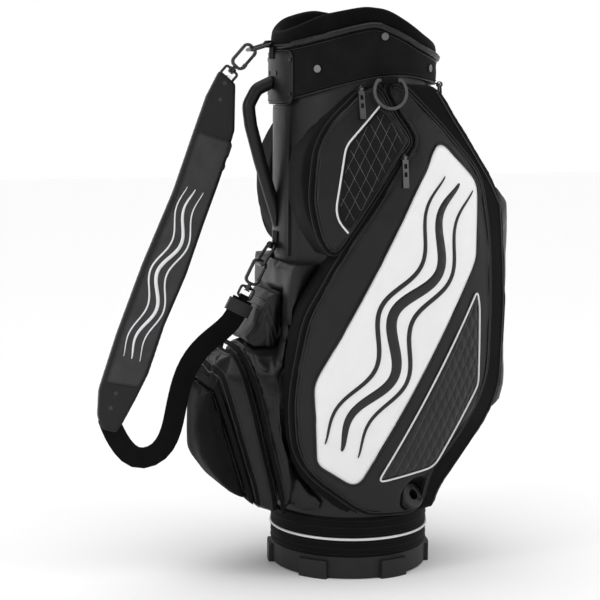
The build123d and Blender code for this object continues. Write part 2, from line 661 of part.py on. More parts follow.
TOP_HOOK = hook_frame(D_TOP_TIP, (-0.67, -0.742))
LOW_HOOK = hook_frame(D_LOW_TIP, (-0.45, -0.893))
PAD_T = 14.0
PAD_LINE = [
    (-211, 760), (-186, 755), (-187, 715), (-188, 672), (-201, 628), (-231, 546), (-260, 464), (-295, 385),
    (-321, 310), (-343, 268), (-360, 238), (-370, 222), (-392, 229), (-399, 250), (-396, 290), (-369, 371),
    (-329, 475), (-282, 582), (-248, 677), (-231, 723),
]
WEB_W = 32.0
WEB_T = 2.4
WEB_LINE = [
    (-382, 246), (-364, 206), (-337, 182), (-309, 187), (-288, 215), (-279, 250), (-271, 285), (-260, 315),
    (-243, 340), (-222, 359), (-200, 376),
]
BUCKLE_AT = 17.0  # from the webbing's end


def ribbon(line, width, thick):
    """Flat webbing with its flat side to +X, along a (y, z) line."""
    centre = Spline(*line)
    steps = 28
    left, right = [], []
    for k in range(steps + 1):
        spot, way = centre @ (k / steps), centre % (k / steps)
        left.append((spot.X - way.Y * width / 2, spot.Y + way.X * width / 2))
        right.append((spot.X + way.Y * width / 2, spot.Y - way.X * width / 2))
    edge = Polyline(*left, *reversed(right), left[0])
    return extrude(Plane.YZ * make_face(edge), amount=thick / 2, both=True)


def strap_end():
    """The webbing's last straight stretch, sewn around the lower eye; +Z towards the bow."""
    flat = Pos(0, 0, EYE_END + 17) * Box(WEB_W, WEB_T, 28)
    fold = Pos(0, 0, EYE_END) * Rot(0, 90, 0) * Cylinder(4.0, 14)
    neck = Pos(0, 0, EYE_END + 3) * Box(14, WEB_T, 6)
    return flat + fold + neck - Pos(0, 0, EYE_END) * Rot(0, 90, 0) * Cylinder(2.1, 40)


last = LOW_HOOK.from_local_coords(Vector(0, 0, EYE_END + 30))
webbing_line = WEB_LINE + [(last.Y, last.Z)]
eyes = [TOP_HOOK.location * eye(), LOW_HOOK.location * eye()]
top_eye_room = TOP_HOOK.location * (Pos(0, 0, EYE_END) * Rot(0, 90, 0) * Cylinder(2.1, 26))
pad = extrude(Plane.YZ * make_face(Polyline(*PAD_LINE, close=True)), amount=PAD_T / 2, both=True)
webbing = ribbon(webbing_line, WEB_W, WEB_T) + LOW_HOOK.location * strap_end()
pad_notch = TOP_HOOK.location * (Pos(0, 0, 33) * Box(29, 20, 40))
pad_mouth = side_prism([(-420, 255), (-330, 255), (-330, 160), (-420, 160)], -WEB_T / 2 - 0.1, WEB_T / 2 + 0.1)
frame_out = Box(39, 7, 20)
frame_slot = Box(WEB_W + 1.4, 3.6, 30)
save("strap_eyes", eyes)
save("strap_pad", pad - pad_notch - eyes[0] - top_eye_room - pad_mouth)
save("strap_webbing", webbing)
save("strap_buckle", LOW_HOOK.location * (Pos(0, 0, EYE_END + BUCKLE_AT) * (frame_out - frame_slot)))
save("upper_hook", TOP_HOOK.location * hook_body())
save("upper_gate", TOP_HOOK.location * hook_gate())
save("lower_hook", LOW_HOOK.location * hook_body())
save("lower_gate", LOW_HOOK.location * hook_gate())

rivet_places = [(-205, 742), (-212, 718), (-380, 262), (-372, 284)]
rivet = Rot(0, 90, 0) * Cylinder(3.2, 1.6)
rivets = []
for y, z in rivet_places:
    rivets += [Pos(side * (PAD_T / 2 + 0.9), y, z) * rivet for side in (-1, 1)]
save("strap_rivets", rivets)
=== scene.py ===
"""The looks of a golf staff bag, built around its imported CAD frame. Metres, +Z up."""

import json
import math

import bmesh
import bpy
import numpy as np
from mathutils import Matrix, Vector, noise
from mathutils.bvhtree import BVHTree
from mathutils.geometry import delaunay_2d_cdt


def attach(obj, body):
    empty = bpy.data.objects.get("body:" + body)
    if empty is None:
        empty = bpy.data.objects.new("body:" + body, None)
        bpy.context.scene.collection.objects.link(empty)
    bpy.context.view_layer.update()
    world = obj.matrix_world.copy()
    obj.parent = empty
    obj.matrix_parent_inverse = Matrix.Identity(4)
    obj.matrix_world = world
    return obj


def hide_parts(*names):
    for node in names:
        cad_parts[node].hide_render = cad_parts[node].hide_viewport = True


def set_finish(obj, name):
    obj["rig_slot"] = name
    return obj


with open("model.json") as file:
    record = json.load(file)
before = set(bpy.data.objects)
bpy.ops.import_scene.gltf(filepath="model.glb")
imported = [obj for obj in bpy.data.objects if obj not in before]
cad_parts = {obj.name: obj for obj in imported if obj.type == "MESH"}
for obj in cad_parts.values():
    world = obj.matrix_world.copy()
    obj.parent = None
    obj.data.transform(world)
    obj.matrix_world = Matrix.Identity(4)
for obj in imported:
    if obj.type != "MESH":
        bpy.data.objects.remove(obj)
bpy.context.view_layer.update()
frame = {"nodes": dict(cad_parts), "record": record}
NODES = frame["nodes"]
MM = 0.001

# ---- sizes repeated from the model, in millimetres ----
SKIN_R = 118.6
WRAP_R = 125.5
BAND_R = 121.4
TAB_R = 128.7
BARREL_X = -215.0
BARREL_Y = 22.0
BARREL_Z = 425.0
BARREL_R = 380.0
BARREL_UP_R = 1446.0
SHOULDER = -8.0  # the zip shoulder lies this far below the side faces
CUFF_LOWER = [(-132, 712), (-85, 731), (-47, 743), (-12, 751), (28, 754), (56, 752), (87, 747), (132, 740)]
ROLL_LINE = [(-134, 794), (-108, 801), (-55, 818), (-14, 827), (11, 820), (38, 809), (69, 795), (134, 776)]
RIM_LINE = [
    (-132, 815), (-92, 838), (-69, 846), (-34, 853), (-12, 853), (14, 848), (57, 827), (88, 812), (132, 798),
]
MAIN_FACE = [
    (6, 742), (23, 706), (47, 672), (49, 655), (31, 633), (-69, 487), (-114, 402), (-128, 312),
    (-130, 266), (-123, 204), (-98, 165), (-56, 133), (-15, 103), (70, 103), (81, 170), (122, 210),
    (161, 268), (176, 310), (176, 421), (172, 524), (157, 609), (87, 684), (26, 744),
]
MAIN_REAR = [(100, 101), (107, 130), (134, 166), (167, 206), (201, 250), (213, 289), (215, 414), (206, 566)]
MAIN_SHOULDER = [(206, 566), (188, 597), (129, 680), (94, 735)]
UPPER_FACE = [
    (-6, 740), (-26, 734), (-78, 684), (-97, 648), (-106, 576), (-97, 526), (-79, 494), (21, 640),
    (36, 656), (37, 666), (12, 701),
]
WHITE_PANEL = [
    (79, 656), (93, 656), (145, 606), (152, 590), (148, 489), (143, 475), (-30, 152), (-45, 150),
    (-96, 183), (-106, 302), (-100, 321),
]
QUILT_PANEL = [(149, 438), (154, 414), (158, 296), (154, 286), (91, 178), (80, 170), (2, 154), (-1, 159)]
UPPER_QUILT = [(-58, 653), (-75, 563), (-71, 546), (-58, 531), (28, 657), (29, 664), (6, 696), (-8, 709)]
UPPER_PIPING = [(-60, 529), (-73, 545), (-77, 563), (-60, 654), (-8, 711)]
# each front zip lies in a leaning plane: its y at the foot, and how far it leans for each mm of height
ZIP_FOOT = 104.0
ZIP_PLANES = {"inner": (-130.0, 0.243), "outer": (-178.0, 0.27), "flap": (-72.0, 0.27)}


# ---- materials ----
TINT_SCALE = 35.0  # of the noise that the colour and roughness drift with
ROUGH_DRIFT = 0.08
RIB_SCALE = 31.4159  # a wave texture of this scale has a rib every 10 mm


def node_tree(name):
    material = bpy.data.materials.new(name)
    material.use_nodes = True
    tree = material.node_tree
    return material, tree, tree.nodes["Principled BSDF"]


def add(tree, kind, **inputs):
    """A shader node with its input values set by name."""
    made = tree.nodes.new(kind)
    for key, value in inputs.items():
        made.inputs[key.replace("_", " ")].default_value = value
    return made


def surface(name, colour, roughness, grain, metallic=0.0, sheen=0.0, coat=0.0, gloss=0.5, spread=0.25):
    """A material whose colour and roughness drift a little, with bumps from a list of height layers."""
    material, tree, shader = node_tree(name)
    links = tree.links
    shader.inputs["Metallic"].default_value = metallic
    shader.inputs["Specular IOR Level"].default_value = gloss
    shader.inputs["Sheen Weight"].default_value = sheen
    shader.inputs["Sheen Roughness"].default_value = 0.45
    shader.inputs["Coat Weight"].default_value = coat
    shader.inputs["Coat Roughness"].default_value = 0.25
    place = tree.nodes.new("ShaderNodeTexCoord").outputs["Object"]
    drift = add(tree, "ShaderNodeTexNoise", Scale=TINT_SCALE, Detail=5.0, Roughness=0.6)
    links.new(place, drift.inputs["Vector"])
    ramp = tree.nodes.new("ShaderNodeValToRGB")
    low = [c * (1.0 - spread) for c in colour]
    high = [min(1.0, c * (1.0 + spread)) for c in colour]
    ramp.color_ramp.elements[0].position, ramp.color_ramp.elements[0].color = 0.3, (*low, 1)
    ramp.color_ramp.elements[1].position, ramp.color_ramp.elements[1].color = 0.7, (*high, 1)
    links.new(drift.outputs["Fac"], ramp.inputs["Fac"])
    links.new(ramp.outputs["Color"], shader.inputs["Base Color"])
    rough = tree.nodes.new("ShaderNodeMapRange")
    rough.inputs["To Min"].default_value = max(0.05, roughness - ROUGH_DRIFT)
    rough.inputs["To Max"].default_value = min(1.0, roughness + ROUGH_DRIFT)
    links.new(drift.outputs["Fac"], rough.inputs["Value"])
    links.new(rough.outputs["Result"], shader.inputs["Roughness"])
    normal = None
    for layer in grain:
        height = layer[0](tree, place, *layer[3:])
        bump = add(tree, "ShaderNodeBump", Strength=layer[1], Distance=layer[2] * MM)
        links.new(height, bump.inputs["Height"])
        if normal is not None:
            links.new(normal, bump.inputs["Normal"])
        normal = bump.outputs["Normal"]
    links.new(normal, shader.inputs["Normal"])
    return material


def pebbles(tree, place, size):
    """Leather grain: small raised cells, size in millimetres."""
    cells = add(tree, "ShaderNodeTexVoronoi", Scale=1000.0 / size)
    cells.feature = "SMOOTH_F1"
    tree.links.new(place, cells.inputs["Vector"])
    return cells.outputs["Distance"]


def cloud(tree, place, size):
    """Soft creases or a cast skin, size in millimetres."""
    made = add(tree, "ShaderNodeTexNoise", Scale=1000.0 / size, Detail=4.0, Roughness=0.55)
    tree.links.new(place, made.inputs["Vector"])
    return made.outputs["Fac"]


def ribs(tree, place, pitch, direction):
    """Parallel ribs of a weave, pitch in centimetres (times 1.15 for diagonal ones)."""
    made = add(tree, "ShaderNodeTexWave", Scale=RIB_SCALE / pitch)
    made.bands_direction = direction
    tree.links.new(place, made.inputs["Vector"])
    return made.outputs["Fac"]


def weave(tree, place, pitch):
    """Two crossing sets of ribs, pitch in centimetres."""
    one = ribs(tree, place, pitch, "Z")
    two = ribs(tree, place, pitch, "DIAGONAL")
    both = tree.nodes.new("ShaderNodeMath")
    both.operation = "MULTIPLY"
    tree.links.new(one, both.inputs[0])
    tree.links.new(two, both.inputs[1])
    return both.outputs[0]


LOOK = {
    "leather": surface(
        "black_leather", (0.0065, 0.0062, 0.0065), 0.4, [(cloud, 0.4, 1.4, 20.0), (pebbles, 0.25, 0.1, 1.1)],
        gloss=0.28,
    ),
    "soft_leather": surface(
        "strap_leather", (0.03, 0.03, 0.032), 0.42, [(cloud, 0.3, 0.8, 16.0), (pebbles, 0.25, 0.1, 0.9)],
        gloss=0.3,
    ),
    "white_leather": surface(
        "white_leather", (0.8, 0.8, 0.805), 0.42, [(cloud, 0.15, 0.5, 30.0), (pebbles, 0.3, 0.12, 1.0)],
        gloss=0.4, spread=0.02,
    ),
    "quilt": surface(
        "quilted_leather", (0.014, 0.0136, 0.0143), 0.4, [(cloud, 0.2, 0.4, 9.0), (pebbles, 0.3, 0.1, 0.9)],
        gloss=0.28,
    ),
    "quilt_fabric": surface(
        "quilted_fabric", (0.008, 0.008, 0.0085), 0.7, [(weave, 0.5, 0.12, 0.9), (cloud, 0.2, 0.3, 6.0)],
        sheen=0.02, gloss=0.1,
    ),
    "knit": surface(
        "knit_band", (0.008, 0.0077, 0.008), 0.85, [(weave, 0.6, 0.15, 1.3), (cloud, 0.35, 0.5, 12.0)],
        sheen=0.03, gloss=0.06,
    ),
    "velour": surface(
        "velour", (0.0045, 0.0043, 0.0045), 0.95, [(cloud, 0.6, 0.3, 1.6), (cloud, 0.3, 0.9, 25.0)],
        sheen=0.04, gloss=0.03,
    ),
    "black_fabric": surface(
        "ribbed_nylon", (0.0042, 0.004, 0.0042), 0.7, [(weave, 0.6, 0.15, 1.1), (cloud, 0.3, 0.5, 10.0)],
        sheen=0.02, gloss=0.07,
    ),
    "zip_tape": surface(
        "zip_tape", (0.005, 0.005, 0.0052), 0.7, [(ribs, 0.7, 0.2, 1.6, "Z")], sheen=0.01, gloss=0.06
    ),
    "webbing": surface(
        "webbing", (0.004, 0.004, 0.0042), 0.66, [(ribs, 0.8, 0.3, 2.2, "DIAGONAL"), (weave, 0.4, 0.15, 1.0)],
        sheen=0.01, gloss=0.07,
    ),
    "liner_fabric": surface(
        "liner_nylon", (0.02, 0.02, 0.023), 0.7, [(weave, 0.4, 0.1, 1.0)], sheen=0.1, gloss=0.2
    ),
    "silver_piping": surface(
        "silver_piping", (0.66, 0.67, 0.69), 0.34,
        [(ribs, 0.25, 0.1, 1.4, "DIAGONAL"), (cloud, 0.15, 0.1, 3.0)], coat=0.2, spread=0.05,
    ),
    "black_piping": surface(
        "black_piping", (0.005, 0.005, 0.0052), 0.38, [(cloud, 0.2, 0.1, 3.0)], gloss=0.35
    ),
    "rubber": surface(
        "base_rubber", (0.01, 0.0098, 0.01), 0.55, [(cloud, 0.35, 0.12, 1.5), (cloud, 0.15, 0.4, 30.0)],
        gloss=0.3,
    ),
    "foam": surface("foam", (0.045, 0.045, 0.045), 0.9, [(pebbles, 0.5, 0.3, 2.0)], gloss=0.2),
    "liner_plastic": surface("liner_plastic", (0.03, 0.03, 0.033), 0.5, [(cloud, 0.2, 0.2, 4.0)], gloss=0.3),
    "black_plastic": surface(
        "black_plastic", (0.007, 0.007, 0.0072), 0.36, [(cloud, 0.2, 0.06, 1.2)], gloss=0.4, spread=0.15
    ),
    "steel": surface("steel", (0.5, 0.5, 0.52), 0.3, [(ribs, 0.2, 0.05, 0.6, "Z")], metallic=1.0, spread=0.1),
    "black_metal": surface(
        "black_metal", (0.045, 0.045, 0.047), 0.26, [(cloud, 0.15, 0.06, 2.0)], metallic=0.9
    ),
    "gunmetal": surface("gunmetal", (0.13, 0.13, 0.135), 0.3, [(cloud, 0.15, 0.05, 2.0)], metallic=0.9),
    "thread_grey": surface(
        "grey_thread", (0.22, 0.22, 0.225), 0.6, [(ribs, 0.5, 0.1, 0.5, "DIAGONAL")], sheen=0.1, gloss=0.2
    ),
    "thread_black": surface(
        "black_thread", (0.004, 0.004, 0.004), 0.5, [(ribs, 0.5, 0.1, 0.5, "DIAGONAL")], gloss=0.4
    ),
    "satin_black": surface(
        "satin_stitch_black", (0.0055, 0.0055, 0.006), 0.36, [(ribs, 0.9, 0.35, 0.9, "DIAGONAL")], gloss=0.4
    ),
    "satin_white": surface(
        "satin_stitch_white", (0.8, 0.8, 0.81), 0.4, [(ribs, 0.8, 0.3, 0.9, "DIAGONAL")], spread=0.04
    ),
}
# the record's slot for each look that isn't named after one
SLOT_OF_LOOK = {
    "soft_leather": "leather", "quilt_fabric": "quilt", "velour": "knit", "black_piping": "leather",
    "thread_grey": "black_fabric", "thread_black": "black_fabric", "satin_black": "leather",
    "satin_white": "white_leather",
}


# ---- meshes ----
AIR_PRESSURE = 4.0
CLOTH_FRAMES = 20


def piece(name, verts, faces, look, body="bag"):
    """A new piece from points in metres, riding on a body."""
    mesh = bpy.data.meshes.new(name)
    mesh.from_pydata([tuple(v) for v in verts], [], faces)
    mesh.materials.append(LOOK[look])
    obj = bpy.data.objects.new(name, mesh)
    bpy.context.scene.collection.objects.link(obj)
    repair = bmesh.new()
    repair.from_mesh(mesh)
    bmesh.ops.recalc_face_normals(repair, faces=repair.faces)
    repair.to_mesh(mesh)
    repair.free()
    mesh.shade_smooth()
    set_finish(obj, SLOT_OF_LOOK.get(look, look))
    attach(obj, body)
    return obj


def bake_modifiers(obj):
    """Applies every modifier of a piece."""
    shown = obj.evaluated_get(bpy.context.evaluated_depsgraph_get())
    mesh = bpy.data.meshes.new_from_object(shown)
    obj.modifiers.clear()
    obj.data = mesh


def outer_shell(node):
    """The outside skin of a hollow CAD solid, as a new mesh without its inner walls."""
    work = bmesh.new()
    work.from_mesh(NODES[node].data)
    bmesh.ops.remove_doubles(work, verts=work.verts, dist=1e-6)
    left = set(work.verts)
    groups = []
    while left:
        stack = [left.pop()]
        group = set(stack)
        while stack:
            for edge in stack.pop().link_edges:
                for vert in edge.verts:
                    if vert in left:
                        left.remove(vert)
                        group.add(vert)
                        stack.append(vert)
        groups.append(group)

    def size(group):
        return sum(max(v.co[k] for v in group) - min(v.co[k] for v in group) for k in range(3))

    keep = max(groups, key=size)
    bmesh.ops.delete(work, geom=[v for v in work.verts if v not in keep], context="VERTS")
    mesh = bpy.data.meshes.new(node + "_shell")
    work.to_mesh(mesh)
    work.free()
    return mesh


def puffed(obj, cap):
    """Draws a piece in by half of cap and blows it up as cloth; no point moves further than cap, in mm."""
    mesh = obj.data
    for vert, normal in [(v, v.normal.copy()) for v in mesh.vertices]:
        vert.co -= normal * (cap * 0.5 * MM)
    start = [v.co.copy() for v in mesh.vertices]
    cloth = obj.modifiers.new("cloth", "CLOTH")
    cloth.settings.use_pressure = True
    cloth.settings.uniform_pressure_force = AIR_PRESSURE
    cloth.settings.effector_weights.gravity = 0.0
    for step in range(CLOTH_FRAMES):
        bpy.context.scene.frame_set(step + 1)
    shown = obj.evaluated_get(bpy.context.evaluated_depsgraph_get())
    swollen = [v.co.copy() for v in shown.data.vertices]
    obj.modifiers.clear()
    bpy.context.scene.frame_set(1)
    for vert, old, new in zip(mesh.vertices, start, swollen):
        move = new - old
        vert.co = old + move * min(1.0, cap * MM / max(move.length, 1e-9))


def soft_copy(node, name, look, voxel=4.0, rounds=6, body="bag", air=0.0):
    """A padded version of a plain CAD solid: remeshed, its edges rounded off, blown up by at most air mm."""
    obj = bpy.data.objects.new(name, outer_shell(node))
    bpy.context.scene.collection.objects.link(obj)
    remesh = obj.modifiers.new("remesh", "REMESH")
    remesh.mode = "VOXEL"
    remesh.voxel_size = voxel * MM
    relax = obj.modifiers.new("relax", "SMOOTH")
    relax.factor = 0.5
    relax.iterations = rounds
    bake_modifiers(obj)
    if air:
        puffed(obj, air)
    fine = obj.modifiers.new("fine", "SUBSURF")
    fine.levels = 1
    fine.render_levels = 1
    bake_modifiers(obj)
    obj.data.materials.clear()
    obj.data.materials.append(LOOK[look])
    obj.data.shade_smooth()
    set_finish(obj, SLOT_OF_LOOK.get(look, look))
    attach(obj, body)
    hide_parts(node)
    return obj


def paint(obj, look, chosen):
    """Gives the faces for which chosen(centre in mm) holds another material."""
    obj.data.materials.append(LOOK[look])
    index = len(obj.data.materials) - 1
    for face in obj.data.polygons:
        if chosen(face.center / MM):
            face.material_index = index


def nudge(obj, shift):
    """Moves every vertex along its normal by shift(point in mm, normal), in mm."""
    normals = [v.normal.copy() for v in obj.data.vertices]
    for vert, normal in zip(obj.data.vertices, normals):
        vert.co += normal * (shift(vert.co / MM, normal) * MM)
    obj.data.update()


def folds(amount, size):
    """A smooth random height field, for slack cloth."""

    def height(point, normal):
        return amount * noise.noise(point / size)

    return height


def both_sides(obj):
    """Adds the left-hand twin of a right-hand piece."""
    mesh = obj.data.copy()
    mesh.transform(Matrix.Scale(-1, 4, Vector((1, 0, 0))))
    mesh.flip_normals()
    twin = bpy.data.objects.new(obj.name.replace("_right", "_left"), mesh)
    bpy.context.scene.collection.objects.link(twin)
    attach(twin, "bag")
    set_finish(twin, obj["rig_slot"])


# ---- lines ----
STITCH_RISE = 0.1
THREAD_SIDES = 5


def round_corners(points, radius, closed=True):
    """The outline with each corner drawn as a curve."""
    points = [Vector(p[:2]) for p in points]
    count = len(points)
    made = []
    for i, corner in enumerate(points):
        if not closed and i in (0, count - 1):
            made.append(corner)
            continue
        before, after = points[i - 1] - corner, points[(i + 1) % count] - corner
        start = corner + before.normalized() * min(radius, before.length * 0.45)
        end = corner + after.normalized() * min(radius, after.length * 0.45)
        for k in range(5):
            t = k / 4
            made.append(start * (1 - t) ** 2 + corner * (2 * t * (1 - t)) + end * t**2)
    return made


def resample(points, step, closed=True):
    """Evenly spaced points along a line."""
    chain = list(points) + ([points[0]] if closed else [])
    length = sum((b - a).length for a, b in zip(chain, chain[1:]))
    count = max(2, round(length / step))
    gap = length / count
    made = [chain[0].copy()]
    need = gap
    for a, b in zip(chain, chain[1:]):
        run = (b - a).length
        while run >= need - 1e-9 and len(made) < count + (0 if closed else 1):
            a = a + (b - a) * (need / run)
            made.append(a.copy())
            run = (b - a).length
            need = gap
        need -= run
    if closed:
        return made[:count]
    made[-1] = chain[-1].copy()
    return made


def shrunk(points, distance):
    """A closed line moved inwards."""
    count = len(points)
    area = sum(points[i - 1].x * points[i].y - points[i].x * points[i - 1].y for i in range(count))
    sign = 1 if area > 0 else -1
    made = []
    for i in range(count):
        way = (points[(i + 1) % count] - points[i - 1]).normalized()
        made.append(points[i] + Vector((-way.y, way.x)) * sign * distance)
    return made


def edge_distances(points, spots):
    """For each flat spot, its distance from a closed outline, below zero outside it."""
    a = np.array([p[:2] for p in points])
    b = np.roll(a, -1, axis=0)
    run = b - a
    made = []
    for block in np.array_split(np.array([p[:2] for p in spots]), max(1, len(spots) // 2000)):
        x, y = block[:, :1], block[:, 1:2]
        crossed = (a[:, 1] > y) != (b[:, 1] > y)
        level = np.where(run[:, 1] == 0, 1e-12, run[:, 1])
        left_of = x < run[:, 0] * (y - a[:, 1]) / level + a[:, 0]
        within = (crossed & left_of).sum(axis=1) % 2 == 1
        share = ((x - a[:, 0]) * run[:, 0] + (y - a[:, 1]) * run[:, 1]) / (run**2).sum(axis=1)
        share = share.clip(0, 1)
        gap = np.hypot(x - a[:, 0] - share * run[:, 0], y - a[:, 1] - share * run[:, 1]).min(axis=1)
        made += list(np.where(within, gap, -gap))
    return made


def spline(points, per_run):
    """A smooth open curve through points of any dimension."""
    points = [Vector(p) for p in points]
    ends = [points[0] * 2 - points[1], *points, points[-1] * 2 - points[-2]]
    made = []
    for i in range(1, len(ends) - 2):
        a, b, c, d = ends[i - 1 : i + 3]
        for k in range(per_run):
            t = k / per_run
            sum_of_terms = 2 * b + (c - a) * t
            sum_of_terms += (2 * a - 5 * b + 4 * c - d) * t**2
            sum_of_terms += (3 * b - a - 3 * c + d) * t**3
            made.append(0.5 * sum_of_terms)
    made.append(points[-1])
    return made


def tube_mesh(path, ups, radius, closed, sides=8):
    """Points and faces of a cord along a path; ups are the outward directions."""
    verts, faces = [], []
    count = len(path)
    for i, centre in enumerate(path):
        before = path[i - 1] if closed or i else path[0]
        after = path[(i + 1) % count] if closed or i < count - 1 else path[-1]
        way = (after - before).normalized()
        across = way.cross(ups[i]).normalized()
        up = across.cross(way).normalized()
        for k in range(sides):
            turn = 2 * math.pi * k / sides
            verts.append(centre + across * (math.cos(turn) * radius) + up * (math.sin(turn) * radius))
    for i in range(count if closed else count - 1):
        a, b = i * sides, (i + 1) % count * sides
        for k in range(sides):
            m = (k + 1) % sides
            faces.append((a + k, a + m, b + m, b + k))
    if not closed:
        faces.append(tuple(range(sides))[::-1])
        faces.append(tuple((count - 1) * sides + k for k in range(sides)))
    return verts, faces


def merged(parts):
    """Several lists of points and faces as one."""
    verts, faces = [], []
    for some, made in parts:
        shift = len(verts)
        verts += some
        faces += [tuple(i + shift for i in face) for face in made]
    return verts, faces


def stitch_mesh(path, ups, length=2.6, gap=1.3, radius=0.35):
    """Short raised stitches along a path in metres; sizes in mm."""
    parts = []
    pitch = (length + gap) * MM
    total = 0.0
    due = pitch * 0.5
    for i in range(len(path) - 1):
        run = path[i + 1] - path[i]
        while run.length > 1e-9 and total + run.length >= due:
            spot = path[i] + run * ((due - total) / run.length)
            way = run.normalized() * (length * MM / 2)
            up = ups[i].normalized()
            sunk = up * (radius * 0.8 * MM)
            line = [spot - way - sunk, spot + up * (STITCH_RISE * MM), spot + way - sunk]
            parts.append(tube_mesh(line, [up] * 3, radius * MM, False, sides=THREAD_SIDES))
            due += pitch
        total += run.length
    return merged(parts)


# ---- places on the bag ----
def barrel_x(y, z, lift=0.0):
    """How far out the +X side's bulging face is at a point of the side view, in mm."""
    upright = BARREL_UP_R + lift
    radius = BARREL_R + lift - upright + math.sqrt(upright**2 - (z - BARREL_Z) ** 2)
    return BARREL_X + math.sqrt(radius**2 - (y - BARREL_Y) ** 2)


def on_barrel(spot, lift=0.0):
    """A point of the side view on the +X side's barrel, and the way out of it."""
    y, z = spot[0], spot[1]
    x = barrel_x(y, z, lift)
    slope_y = (barrel_x(y + 1, z, lift) - barrel_x(y - 1, z, lift)) / 2
    slope_z = (barrel_x(y, z + 1, lift) - barrel_x(y, z - 1, lift)) / 2
    return Vector((x, y, z)) * MM, Vector((1, -slope_y, -slope_z)).normalized()


def on_round(radius):
    """Wraps a flat (along the girth from the front, height) point on an upright cylinder."""

    def place(spot, lift=0.0):
        turn = spot[0] / radius
        out = Vector((math.sin(turn), -math.cos(turn), 0))
        return out * ((radius + lift) * MM) + Vector((0, 0, spot[1] * MM)), out

    return place


def hugging(obj):
    """Finds the surface of a piece, for a line that lies on it."""
    tree = BVHTree.FromObject(obj, bpy.context.evaluated_depsgraph_get())

    def cast(origin, way):
        spot, normal, _, _ = tree.ray_cast(origin, way)
        if spot is None:
            return None
        return spot, normal if normal.dot(way) < 0 else -normal

    return cast


def laid(points, place, lift):
    """A flat line laid on a surface."""
    spots = [place(p, lift) for p in points]
    return [s[0] for s in spots], [s[1] for s in spots]


def cord_on(name, points, place, radius, look, closed=True, lift=0.0, body="bag"):
    """A cord along a flat line laid on a surface."""
    path, ups = laid(points, place, lift)
    return piece(name, *tube_mesh(path, ups, radius * MM, closed), look, body)


def stitches_on(name, points, place, lift=0.1, body="bag"):
    """A row of black stitches along a closed flat line laid on a surface."""
    path, ups = laid([*points, points[0]], place, lift)
    return piece(name, *stitch_mesh(path, ups), "thread_black", body)


def zip_teeth(name, points, place, lift):
    """A closed zip: two rows of coil turns side by side."""
    pitch, width = 2.2, 4.6
    path, ups = laid(resample(points, pitch), place, lift)
    parts = []
    for i in range(len(path) - 1):
        way = (path[i + 1] - path[i]).normalized()
        across = way.cross(ups[i]).normalized()
        for side in (-1, 1):
            root = path[i] + across * (side * width * 0.5 * MM) + way * (side * pitch * 0.22 * MM)
            tip = path[i] + across * (side * 0.1 * MM) + way * (side * pitch * 0.22 * MM)
            top = (root + tip) / 2 + ups[i] * (0.7 * MM)
            parts.append(tube_mesh([root, top, tip], [ups[i]] * 3, 0.62 * MM, False, sides=THREAD_SIDES))
    return piece(name, *merged(parts), "black_plastic")


def panel(name, outline, place, height, look, spacing, corner, body="bag"):
    """A sewn panel: a finely meshed outline, raised by height(u, v, distance from its edge)."""
    edge = resample(round_corners(outline, corner), spacing)
    row_gap = spacing * 0.87
    low_u, high_u = min(p.x for p in edge), max(p.x for p in edge)
    low_v, high_v = min(p.y for p in edge), max(p.y for p in edge)
    grid = []
    for row in range(int((high_v - low_v) / row_gap) + 1):
        for column in range(int((high_u - low_u) / spacing) + 1):
            shift = (row % 2) * spacing / 2
            grid.append(Vector((low_u + shift + column * spacing, low_v + row * row_gap)))
    away = edge_distances(edge, grid)
    spots = edge + [spot for spot, gap in zip(grid, away) if gap > spacing * 0.55]
    rim = [(i, (i + 1) % len(edge)) for i in range(len(edge))]
    made = delaunay_2d_cdt(spots, rim, [], 1, 1e-5)
    away = edge_distances(edge, made[0])
    verts = [place(spot, height(spot.x, spot.y, abs(gap)))[0] for spot, gap in zip(made[0], away)]
    return piece(name, verts, [tuple(f) for f in made[2]], look, body)


def crown(low, high, width):
    """Rises from low at a panel's edge to high, width inside it."""

    def height(u, v, away):
        t = min(1.0, away / width)
        return low + (high - low) * math.sin(t * math.pi / 2)

    return height


def quilted(base, pitch_u, pitch_v, depth):
    """A crowned panel pulled down along crossing stitch lines."""

    def height(u, v, away):
        one, two = u / pitch_u + v / pitch_v, u / pitch_u - v / pitch_v
        puff = (abs(math.sin(math.pi * one)) * abs(math.sin(math.pi * two))) ** 0.55
        return base(u, v, away) + depth * (puff - 0.6) * min(1.0, away / 5)

    return height


def quilt_stitches(name, outline, place, pitch_u, pitch_v, families, **sizes):
    """Thread along the quilt's stitch lines, clipped to the panel."""
    edge = resample(round_corners(outline, 8), 4)
    low_v, high_v = min(p.y for p in edge), max(p.y for p in edge)
    low_u, high_u = min(p.x for p in edge), max(p.x for p in edge)
    parts = []
    for family in families:
        reach = int((high_u - low_u) / pitch_u + (high_v - low_v) / pitch_v) + 3
        first = math.floor(low_u / pitch_u + min(family * low_v, family * high_v) / pitch_v) - 1
        for number in range(first, first + reach):
            heights = [low_v + 3 * k for k in range(int((high_v - low_v) / 3) + 1)]
            line = [Vector(((number - family * v / pitch_v) * pitch_u, v)) for v in heights]
            run = []
            for spot, gap in zip(line, edge_distances(edge, line)):
                if gap > 2.5:
                    run.append(spot)
            if len(run) > 1:
                path, ups = laid(run, place, STITCH_RISE)
                parts.append(stitch_mesh(path, ups, **sizes))
    return piece(name, *merged(parts), "thread_grey")


def over(obj):
    """Places side-view points on the surface of a finished right-hand piece."""
    cast = hugging(obj)

    def place(spot, lift=0.0):
        found = cast(Vector((400, spot[0], spot[1])) * MM, Vector((-1, 0, 0)))
        if found is None:
            return on_barrel(spot, lift)
        return found[0] + found[1] * (lift * MM), found[1]

    return place


